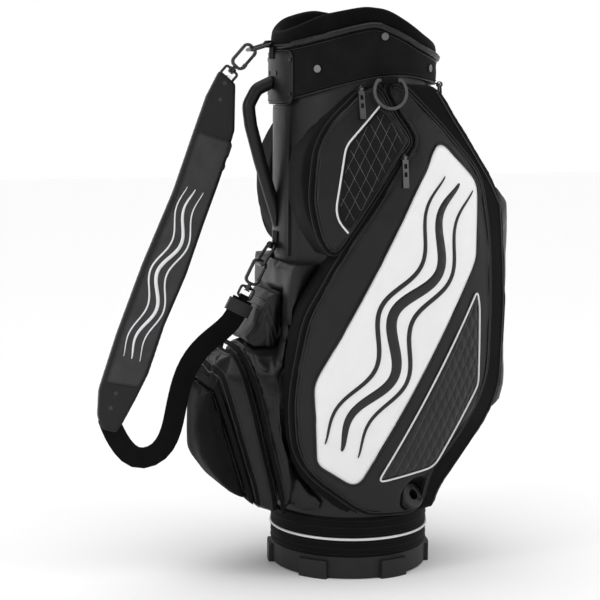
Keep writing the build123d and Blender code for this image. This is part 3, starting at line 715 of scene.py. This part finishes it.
# ---- the CAD nodes' materials, and softened edges on the hard parts ----
SLOTS = {s["node"]: s["material_slot"] for s in frame["record"]["subparts"]}
HARD = ("black_metal", "gunmetal", "black_plastic", "rubber", "steel")
EDGE_ROUND = 0.5
BASE_EDGE_ROUND = 1.8
for node, obj in NODES.items():
    obj.data.materials.clear()
    obj.data.materials.append(LOOK["gunmetal" if node == "towel_ring" else SLOTS[node]])
    if SLOTS[node] in HARD:
        edge = obj.modifiers.new("soft_edges", "BEVEL")
        edge.width = (BASE_EDGE_ROUND if "base" in node else EDGE_ROUND) * MM
        edge.segments = 3
        edge.limit_method = "ANGLE"
        edge.angle_limit = math.radians(40)
        edge.harden_normals = False


# ---- side pockets ----
WHITE_CORNER = 12
QUILT_CORNER = 9
LOW_PITCH = (14.5, 30.0)  # between stitch lines, along and up the bag
TOP_PITCH = (16.5, 32.0)
slack = folds(1.6, 46.0)


def on_shoulder(point):
    """Whether a point of a side pocket lies on its zip shoulder and not on its face."""
    return abs(point.x) < barrel_x(point.y, point.z) - 4.6


def side_pocket(node, name):
    """A soft copy of a side pocket, slack in the same places on either side."""
    pocket = soft_copy(node, name, "leather")
    nudge(pocket, lambda p, n: slack(Vector((abs(p.x), p.y, p.z)), n))
    paint(pocket, "black_fabric", on_shoulder)
    return pocket


main_soft = side_pocket("main_pocket_right", "main_pocket_leather_right")
side_pocket("main_pocket_left", "main_pocket_leather_left")
for hand in ("right", "left"):
    side_pocket(f"upper_pocket_{hand}", f"upper_pocket_leather_{hand}")

white_crown = crown(-1.2, 1.9, 10)
white = panel("white_panel_right", WHITE_PANEL, on_barrel, white_crown, "white_leather", 3.0, WHITE_CORNER)
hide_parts("white_panels")
both_sides(white)
low_quilt = quilted(crown(-1.5, 2.6, 9), *LOW_PITCH, 2.6)
quilt = panel("quilt_panel_right", QUILT_PANEL, on_barrel, low_quilt, "quilt", 1.7, QUILT_CORNER)
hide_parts("quilt_panels")
both_sides(quilt)
top_quilt = quilted(crown(-1.5, 1.4, 7), *TOP_PITCH, 1.2)
upper_quilt = panel(
    "upper_quilt_right", UPPER_QUILT, on_barrel, top_quilt, "quilt_fabric", 1.8, QUILT_CORNER
)
both_sides(upper_quilt)
low_thread = quilt_stitches(
    "quilt_thread_right", QUILT_PANEL, over(quilt), *LOW_PITCH, (-1,), length=2.2, gap=0.8, radius=0.2
)
both_sides(low_thread)
top_thread = quilt_stitches(
    "upper_quilt_thread_right", UPPER_QUILT, over(upper_quilt), *TOP_PITCH, (1, -1),
    length=2.0, gap=1.1, radius=0.24,
)
both_sides(top_thread)

white_edge = resample(round_corners(WHITE_PANEL, WHITE_CORNER), 3)
both_sides(cord_on("white_panel_edge_right", white_edge, on_barrel, 1.1, "black_piping", lift=0.6))
both_sides(stitches_on("white_panel_stitches_right", shrunk(white_edge, -3.2), on_barrel, lift=0.8))
quilt_edge = resample(round_corners(QUILT_PANEL, QUILT_CORNER), 3)
both_sides(cord_on("quilt_piping_right", quilt_edge, on_barrel, 1.5, "silver_piping", lift=1.2))
upper_edge = resample(round_corners(UPPER_PIPING, 12, closed=False), 3, closed=False)
both_sides(cord_on("upper_piping_right", upper_edge, on_barrel, 1.5, "silver_piping", closed=False, lift=1.2))

for label, outline, corner in (("main", MAIN_FACE, 24), ("upper", UPPER_FACE, 20)):
    face_edge = resample(round_corners(outline, corner), 3)
    for kind, inwards, radius, lift in (("face", 0.6, 1.3, -1.6), ("zip", -6.2, 1.2, SHOULDER + 0.6)):
        line = shrunk(face_edge, inwards)
        both_sides(cord_on(f"{label}_{kind}_welt_right", line, on_barrel, radius, "black_piping", lift=lift))
    both_sides(zip_teeth(f"{label}_zip_teeth_right", shrunk(face_edge, -3.0), on_barrel, SHOULDER + 0.9))
    both_sides(stitches_on(f"{label}_face_stitches_right", shrunk(face_edge, 5.2), on_barrel, lift=0.2))
for label, line in (("rear", MAIN_REAR), ("shoulder", MAIN_SHOULDER)):
    inner = [(y - 6, z + (2 if z < 300 else -3)) for y, z in line]
    welt = resample(round_corners(inner, 18, closed=False), 4, closed=False)
    name = f"main_{label}_welt_right"
    both_sides(cord_on(name, welt, over(main_soft), 1.4, "black_piping", closed=False, lift=0.3))

# ---- a generic embroidered wave, for the white panel and the strap ----
WAVE_TURNS = 2.5
# across a band: each point's share of the half width, and its rise in mm
WAVE_SECTION = [(-1.0, -0.8), (-0.82, 0.6), (-0.4, 1.3), (0.4, 1.3), (0.82, 0.6), (1.0, -0.8)]


def wave_band(name, start, end, offset, swing, thickness, look, place, lift, body="bag"):
    """A tapered embroidered band that waves along a line; all in mm."""
    start, end = Vector(start), Vector(end)
    way = (end - start).normalized()
    side = Vector((-way.y, way.x))
    steps = 150
    middle = []
    for k in range(steps + 1):
        t = k / steps
        fade = math.sin(math.pi * t) ** 0.45
        along = start + way * ((end - start).length * t)
        middle.append(along + side * (offset + swing * fade * math.sin(2 * math.pi * WAVE_TURNS * t)))
    verts, faces = [], []
    for k, centre in enumerate(middle):
        run = (middle[min(k + 1, steps)] - middle[max(k - 1, 0)]).normalized()
        across = Vector((-run.y, run.x))
        fade = math.sin(math.pi * k / steps) ** 0.45
        half = thickness / 2 * (0.15 + 0.85 * fade)
        for share, rise in WAVE_SECTION:
            verts.append(place(centre + across * (half * share), lift + rise)[0])
    count = len(WAVE_SECTION)
    for k in range(steps):
        for m in range(count - 1):
            a = k * count + m
            faces.append((a, a + 1, a + count + 1, a + count))
    return piece(name, verts, faces, look, body)


WAVE_FROM, WAVE_TO = (-62, 205), (116, 598)
for number, band in enumerate([(0, 22, 18), (-27, 17, 8), (27, 17, 8)]):
    both_sides(wave_band(f"wave_{number}_right", WAVE_FROM, WAVE_TO, *band, "satin_black", on_barrel, 2.1))


# ---- cuff ----
SADDLE_R = 125.0
AROUND = 240  # steps around the bag
COLLAR_R = 118.0
COLLAR_HALF = 7.0


def height_at(line):
    """A saddle line's height around the bag, at an angle from the front."""
    curve = spline(line, 12)

    def height(turn):
        y = -SADDLE_R * math.cos(turn)
        for a, b in zip(curve, curve[1:]):
            if a.x <= y <= b.x:
                return a.y + (b.y - a.y) * (y - a.x) / max(1e-6, b.x - a.x)
        return curve[0].y if y < curve[0].x else curve[-1].y

    return height


low_at, roll_at, rim_at = height_at(CUFF_LOWER), height_at(ROLL_LINE), height_at(RIM_LINE)


def hoop(name, section, look):
    """A ring about the bag; section(turn) gives its closed cross-section as (radius, z) points."""
    verts, faces = [], []
    for k in range(AROUND):
        turn = 2 * math.pi * k / AROUND
        out = Vector((math.sin(turn), -math.cos(turn), 0))
        points = section(turn)
        for radius, z in points:
            verts.append(out * (radius * MM) + Vector((0, 0, z * MM)))
    count = len(points)
    for k in range(AROUND):
        a, b = k * count, (k + 1) % AROUND * count
        for m in range(count):
            n = (m + 1) % count
            faces.append((a + m, a + n, b + n, b + m))
    return piece(name, verts, faces, look)


def wrap_section(turn):
    """The knit band, bulging between its seams."""
    low, high = low_at(turn), roll_at(turn) - 2.5
    points = [(119.2, low + 1)]
    for k in range(11):
        t = k / 10
        bulge = math.sin(math.pi * t) ** 0.6
        ripple = noise.noise(Vector((math.sin(turn) * 5, math.cos(turn) * 5, t * 3)))
        points.append((WRAP_R - 1.2 + 1.6 * bulge + 0.5 * ripple * bulge, low + (high - low) * t))
    points.append((119.2, high - 1))
    return points


def collar_section(turn):
    """The padded rim: an upright wall with a rounded top."""
    low, high = roll_at(turn) + 1.5, rim_at(turn)
    ripple = noise.noise(Vector((math.sin(turn) * 2.4, math.cos(turn) * 2.4, 1.3)))
    half = COLLAR_HALF + 0.5 * ripple
    top = high - half + 1.2 * ripple
    points = []
    for k in range(9):
        t = k / 8
        points.append((COLLAR_R + half * (0.9 + 0.14 * math.sin(math.pi * t)), low + (top - low) * t))
    for k in range(1, 9):
        lap = math.pi * k / 9
        points.append((COLLAR_R + half * 0.9 * math.cos(lap), top + half * math.sin(lap)))
    for k in range(9):
        t = 1 - k / 8
        points.append((COLLAR_R - half * (0.9 + 0.1 * math.sin(math.pi * t)), low + (top - low) * t))
    return points


wrap = hoop("cuff_band", wrap_section, "knit")
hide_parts("cuff_wrap")
collar = hoop("cuff_collar_padding", collar_section, "velour")
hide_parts("cuff_collar")


def saddle_line(height, radius, offset, first=0.0, last=360.0):
    """Points and outward directions of a saddle line around the cuff, between two angles in degrees."""
    steps = 220
    path, ups = [], []
    for k in range(steps + 1):
        turn = math.radians(first + (last - first) * k / steps)
        out = Vector((math.sin(turn), -math.cos(turn), 0))
        path.append(out * (radius * MM) + Vector((0, 0, (height(turn) + offset) * MM)))
        ups.append(out)
    return path, ups


roll_path, roll_ups = saddle_line(roll_at, 126.0, 0, 25, 335)
roll = piece("cuff_leather_roll", *tube_mesh(roll_path, roll_ups, 4.8 * MM, False, sides=14), "leather")
ledge_path, ledge_ups = saddle_line(roll_at, 124.0, -1.0)
piece("cuff_roll_ledge", *tube_mesh(ledge_path, ledge_ups, 4.2 * MM, False, sides=10), "black_piping")
ring_path, ring_ups = saddle_line(roll_at, 130.9, 1.0, 26, 334)
piece("cuff_roll_stitches", *stitch_mesh(ring_path, ring_ups, 3.0, 1.6, 0.35), "thread_black")
nudge(roll, folds(0.7, 9.0))
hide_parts("cuff_roll")
for label, height, radius, offset in (
    ("hem", low_at, WRAP_R + 0.2, 5.0), ("under_roll", roll_at, WRAP_R - 0.2, -10.5),
):
    path, ups = saddle_line(height, radius, offset)
    piece(f"cuff_{label}_stitches", *stitch_mesh(path, ups, 3.2, 1.8, 0.4), "thread_black")
hem_path, hem_ups = saddle_line(low_at, WRAP_R - 0.6, 0.6)
piece("cuff_hem_welt", *tube_mesh(hem_path, hem_ups, 1.2 * MM, False), "black_piping")
ridge_path, ridge_ups = saddle_line(roll_at, WRAP_R + 0.1, -7.6)
piece("cuff_roll_seam", *tube_mesh(ridge_path, ridge_ups, 0.8 * MM, False), "black_piping")

TAB_OUTLINE = [(-59, 711), (59, 711), (59, 791), (-59, 791)]
TAB_CORNER = 16
tab_crown = crown(-2.4, 0.6, 6)
tab = panel("handle_tab_leather", TAB_OUTLINE, on_round(TAB_R), tab_crown, "leather", 3.0, TAB_CORNER)
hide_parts("handle_tab")
tab_edge = resample(round_corners(TAB_OUTLINE, TAB_CORNER), 3)
stitches_on("handle_tab_stitches", shrunk(tab_edge, 4.5), on_round(TAB_R), lift=0.7)
cord_on("handle_tab_edge", shrunk(tab_edge, 0.6), on_round(TAB_R), 1.0, "black_piping", lift=-1.2)

strip_edge = resample(round_corners([(-38, 488), (38, 488), (38, 708), (-38, 708)], 4), 4)
stitches_on("spine_stitches", shrunk(strip_edge, 4), on_round(SKIN_R + 3), lift=0.1)


# ---- base ----
def band_section(turn):
    """Two ribbed bands with the piping's groove between them, the same all round."""
    points = [(119.0, 35.2)]
    for low, high in ((34.6, 60.2), (63.8, 94.6)):
        for k in range(13):
            t = k / 12
            rib = 0.35 * math.cos(2 * math.pi * 4 * t)
            points.append((BAND_R - 0.7 + 0.8 * math.sin(math.pi * t) ** 0.5 + rib, low + (high - low) * t))
    points.append((119.0, 94.0))
    return points


band = hoop("base_ribbed_band", band_section, "black_fabric")
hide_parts("base_band")
for number, z in enumerate((38.5, 47, 56, 68, 79, 90)):
    line = [Vector((math.radians(3 * k) * BAND_R, z)) for k in range(120)]
    stitches_on(f"base_stitches_{number}", line, on_round(BAND_R), lift=0.45)

# ---- front pockets ----
SOFT = {}
for node, kind, voxel, rounds, air in (
    ("front_pocket", "leather", 4.0, 26, 4.0),
    ("ball_pocket", "leather", 4.0, 10, 5.0),
    ("outer_ball_pocket", "fabric", 4.0, 16, 6.0),
    ("valuables_pocket", "leather", 3.0, 12, 2.0),
    ("rear_pocket", "leather", 4.0, 14, 4.0),
):
    look = "black_fabric" if kind == "fabric" else "leather"
    SOFT[node] = soft_copy(node, f"{node}_{kind}", look, voxel, rounds, air=air)
value_soft = SOFT["valuables_pocket"]
paint(value_soft, "black_fabric", lambda p: p.y < -163 and p.z > 410 + 0.4 * p.x)  # its fabric top
soft_copy("handle_grip", "handle_grip_leather", "leather", voxel=2.2)
for node, amount, size in (
    ("front_pocket", 1.2, 34),
    ("ball_pocket", 1.6, 30),
    ("outer_ball_pocket", 2.2, 42),
    ("valuables_pocket", 0.8, 24),
    ("rear_pocket", 1.6, 44),
):
    nudge(SOFT[node], folds(amount, size))
nudge(value_soft, lambda p, n: -1.6 if p.y < -150 else 0.0)  # room for the buckle, as the strap swings


def zip_plane_y(which, z):
    """Where a front zip's plane is at a height."""
    y_low, lean = ZIP_PLANES[which]
    return y_low - lean * (z - ZIP_FOOT)


def arch_loop(node, which, ahead):
    """Where a leaning plane, ahead mm in front of a zip's plane, runs round the outside of a front pocket."""
    work = bmesh.new()
    work.from_mesh(outer_shell(node))
    lean = ZIP_PLANES[which][1]
    spot = Vector((0, zip_plane_y(which, 200) - ahead, 200)) * MM
    normal = Vector((0, 1, lean)).normalized()
    bmesh.ops.bisect_plane(
        work, geom=work.verts[:] + work.edges[:] + work.faces[:], plane_co=spot, plane_no=normal,
        clear_inner=True, clear_outer=True,
    )
    points = [v.co.copy() for v in work.verts]
    work.free()
    low = [min(p[k] for p in points) for k in range(3)]
    high = [max(p[k] for p in points) for k in range(3)]
    centre = (Vector(low) + Vector(high)) / 2
    cast = hugging(SOFT[node])
    path, ups = [], []
    steps = 150
    for k in range(steps):
        turn = 2 * math.pi * k / steps
        out = Vector((math.sin(turn), 0, math.cos(turn)))
        out = (out - normal * out.dot(normal)).normalized()
        found = cast(centre + out * 0.4, -out)
        if found:
            path.append(found[0])
            ups.append(out)
    return path, ups


ARCH_LIFT = 0.5


def arch_cord(name, node, which, ahead, radius, look):
    """A cord sewn round a front pocket; gives back its line and the ways out of the pocket."""
    path, ups = arch_loop(node, which, ahead)
    for _ in range(2):
        path = [(path[i - 1] + p * 2 + path[(i + 1) % len(path)]) / 4 for i, p in enumerate(path)]
    path = [p + up * (ARCH_LIFT * MM) for p, up in zip(path, ups)]
    piece(name, *tube_mesh(path, ups, radius * MM, True), look)
    return path, ups


# each welt's zip plane and pocket, how far ahead of the plane it runs, and its radius
ARCHES = [
    ("inner", "ball_pocket", 8.0, 1.5),
    ("inner", "ball_pocket", 19.0, 1.3),
    ("inner", "front_pocket", -3.0, 1.5),
    ("outer", "outer_ball_pocket", 8.0, 1.5),
    ("outer", "ball_pocket", -5.5, 1.2),
    ("outer", "ball_pocket", -13.0, 1.2),
    ("flap", "valuables_pocket", 0.0, 1.2),
    ("flap", "valuables_pocket", -7.0, 1.2),
]
TEETH_FOOT = 125.0  # the zips' teeth start this high
for number, (which, node, ahead, radius) in enumerate(ARCHES):
    arch_cord(f"arch_welt_{number}", node, which, ahead, radius, "black_piping")
for which, node in (("inner", "ball_pocket"), ("outer", "outer_ball_pocket")):
    line, ups = arch_cord(f"{which}_zip_bed", node, which, 6.5, 1.0, "zip_tape")
    back = Vector((0, 1, ZIP_PLANES[which][1])).normalized() * (3.5 * MM)
    rows = []
    for p, q, up in zip(line, line[1:], ups):
        steps = max(1, round((q - p).length / (2 * MM)))
        for k in range(steps if p.z > TEETH_FOOT * MM else 0):
            spot = p.lerp(q, k / steps) + back + up * (0.9 * MM)
            for side in (-1, 1):
                root = spot + back.normalized() * (side * 2.2 * MM)
                top = root.lerp(spot, 0.5) + up * (0.6 * MM)
                rows.append(tube_mesh([root, top, spot], [up] * 3, 0.6 * MM, False, sides=THREAD_SIDES))
    piece(f"{which}_zip_teeth", *merged(rows), "black_plastic")
# the ball pocket's fabric gussets, beside both zips
paint(SOFT["ball_pocket"], "black_fabric", lambda p: p.y > zip_plane_y("inner", p.z) - 19)
paint(SOFT["ball_pocket"], "black_fabric", lambda p: p.y < zip_plane_y("outer", p.z) + 12)

# ---- strap ----
PAD_LINE = [
    (-211, 760), (-186, 755), (-187, 715), (-188, 672), (-201, 628), (-231, 546), (-260, 464), (-295, 385),
    (-321, 310), (-343, 268), (-360, 238), (-370, 222), (-392, 229), (-399, 250), (-396, 290), (-369, 371),
    (-329, 475), (-282, 582), (-248, 677), (-231, 723),
]
pad_edge = resample(round_corners(PAD_LINE, 14), 4)
pad = soft_copy("strap_pad", "strap_pad_leather", "leather", voxel=3.0, rounds=5, body="strap")
pad_away = iter(edge_distances(pad_edge, [Vector((v.co.y, v.co.z)) / MM for v in pad.data.vertices]))
nudge(pad, lambda p, n: 1.2 * abs(n.x) * min(1.0, max(0.0, next(pad_away)) / 14))


def pad_place(side):
    """A point of the side view on one face of the strap pad."""
    cast = hugging(pad)

    def place(spot, lift=0.0):
        found = cast(Vector((side * 40, spot[0], spot[1])) * MM, Vector((-side, 0, 0)))
        if found is None:
            return Vector((side * (7 + lift), spot[0], spot[1])) * MM, Vector((side, 0, 0))
        return found[0] + Vector((side * lift * MM, 0, 0)), Vector((side, 0, 0))

    return place


MIDDLE_PANEL = [
    (-246, 672), (-192, 655), (-205, 617), (-236, 537), (-265, 456), (-300, 378), (-326, 305), (-336, 290),
    (-388, 300), (-365, 369), (-323, 475), (-277, 580),
]
for label, side in (("right", 1), ("left", -1)):
    place = pad_place(side)
    panel(f"strap_middle_{label}", MIDDLE_PANEL, place, crown(-0.6, 1.0, 5), "soft_leather", 3.0, 6, "strap")
    middle_edge = resample(round_corners(MIDDLE_PANEL, 6), 4)
    cord_on(f"strap_middle_seam_{label}", middle_edge, place, 0.9, "black_piping", lift=0.4, body="strap")
    stitches_on(f"strap_middle_stitches_{label}", shrunk(middle_edge, 3.5), place, lift=1.0, body="strap")
    stitches_on(f"strap_edge_stitches_{label}", shrunk(pad_edge, 4.5), place, lift=0.2, body="strap")
    for number, band in enumerate([(0, 10, 6), (-13, 8, 3), (13, 8, 3)]):
        name = f"strap_wave_{number}_{label}"
        wave_band(name, (-348, 335), (-250, 585), *band, "satin_white", place, 1.2, "strap")

# ---- floor, light and camera ----
floor = bpy.data.meshes.new("floor")
floor.from_pydata([(-9, -9, 0), (9, -9, 0), (9, 9, 0), (-9, 9, 0)], [], [(0, 1, 2, 3)])
floor_obj = bpy.data.objects.new("floor", floor)
bpy.context.scene.collection.objects.link(floor_obj)
floor_look, _, floor_shader = node_tree("pale_floor")
floor_shader.inputs["Base Color"].default_value = (0.93, 0.93, 0.93, 1)
floor_shader.inputs["Roughness"].default_value = 0.9
floor.materials.append(floor_look)

world = bpy.data.worlds.new("studio")
world.use_nodes = True
sky = world.node_tree
split = sky.nodes.new("ShaderNodeSeparateXYZ")
fall = sky.nodes.new("ShaderNodeMapRange")
fall.interpolation_type = "SMOOTHSTEP"
for key, value in (("From Min", 0.2), ("From Max", 0.5), ("To Min", 1.0), ("To Max", 0.22)):
    fall.inputs[key].default_value = value
sky.links.new(sky.nodes.new("ShaderNodeTexCoord").outputs["Generated"], split.inputs["Vector"])
sky.links.new(split.outputs["Z"], fall.inputs["Value"])
sky.links.new(fall.outputs["Result"], sky.nodes["Background"].inputs["Strength"])
sky.nodes["Background"].inputs["Color"].default_value = (1, 1, 1, 1)
bpy.context.scene.world = world


def softbox(name, place, aim, size, power):
    """An area lamp, size in metres and power in watts."""
    lamp = bpy.data.lights.new(name, "AREA")
    lamp.shape = "RECTANGLE"
    lamp.size, lamp.size_y = size
    lamp.energy = power
    obj = bpy.data.objects.new(name, lamp)
    obj.location = place
    obj.rotation_euler = (Vector(aim) - Vector(place)).to_track_quat("-Z", "Y").to_euler()
    bpy.context.scene.collection.objects.link(obj)


softbox("key", (0.9, -2.6, 1.7), (0, 0, 0.45), (0.5, 1.6), 14)
softbox("side", (1.4, 2.3, 1.4), (0, 0, 0.45), (0.5, 1.6), 10)
overhead = bpy.data.lights.new("overhead", "SUN")
overhead.energy = 2.3
overhead.angle = math.radians(80)
overhead_obj = bpy.data.objects.new("overhead", overhead)
bpy.context.scene.collection.objects.link(overhead_obj)

CAMERA_TURN = math.radians(70)
ASIDE = math.radians(1.72)  # the camera looks a little past the bag, which stands right of the middle
CAMERA_BACK = 2.6
CAMERA_HEIGHT = 0.765
DIP = math.radians(7.8)
ROLL = math.radians(0.45)
LENS = 101.64  # mm
camera = bpy.data.cameras.new("camera")
camera.sensor_width = 36.0
camera.lens = LENS
camera_obj = bpy.data.objects.new("camera", camera)
bpy.context.scene.collection.objects.link(camera_obj)
out = Vector((math.sin(CAMERA_TURN), -math.cos(CAMERA_TURN), 0))
camera_obj.location = out * CAMERA_BACK + Vector((0, 0, CAMERA_HEIGHT))
look = Matrix.Rotation(ASIDE, 3, "Z") @ (-out) * math.cos(DIP) + Vector((0, 0, -math.sin(DIP)))
right = look.cross(Vector((0, 0, 1))).normalized()
up = right.cross(look)
turned_right = right * math.cos(ROLL) + up * math.sin(ROLL)
turned_up = up * math.cos(ROLL) - right * math.sin(ROLL)
camera_obj.rotation_euler = Matrix((turned_right, turned_up, -look)).transposed().to_euler()
bpy.context.scene.camera = camera_obj
bpy.context.scene.view_settings.view_transform = "Standard"
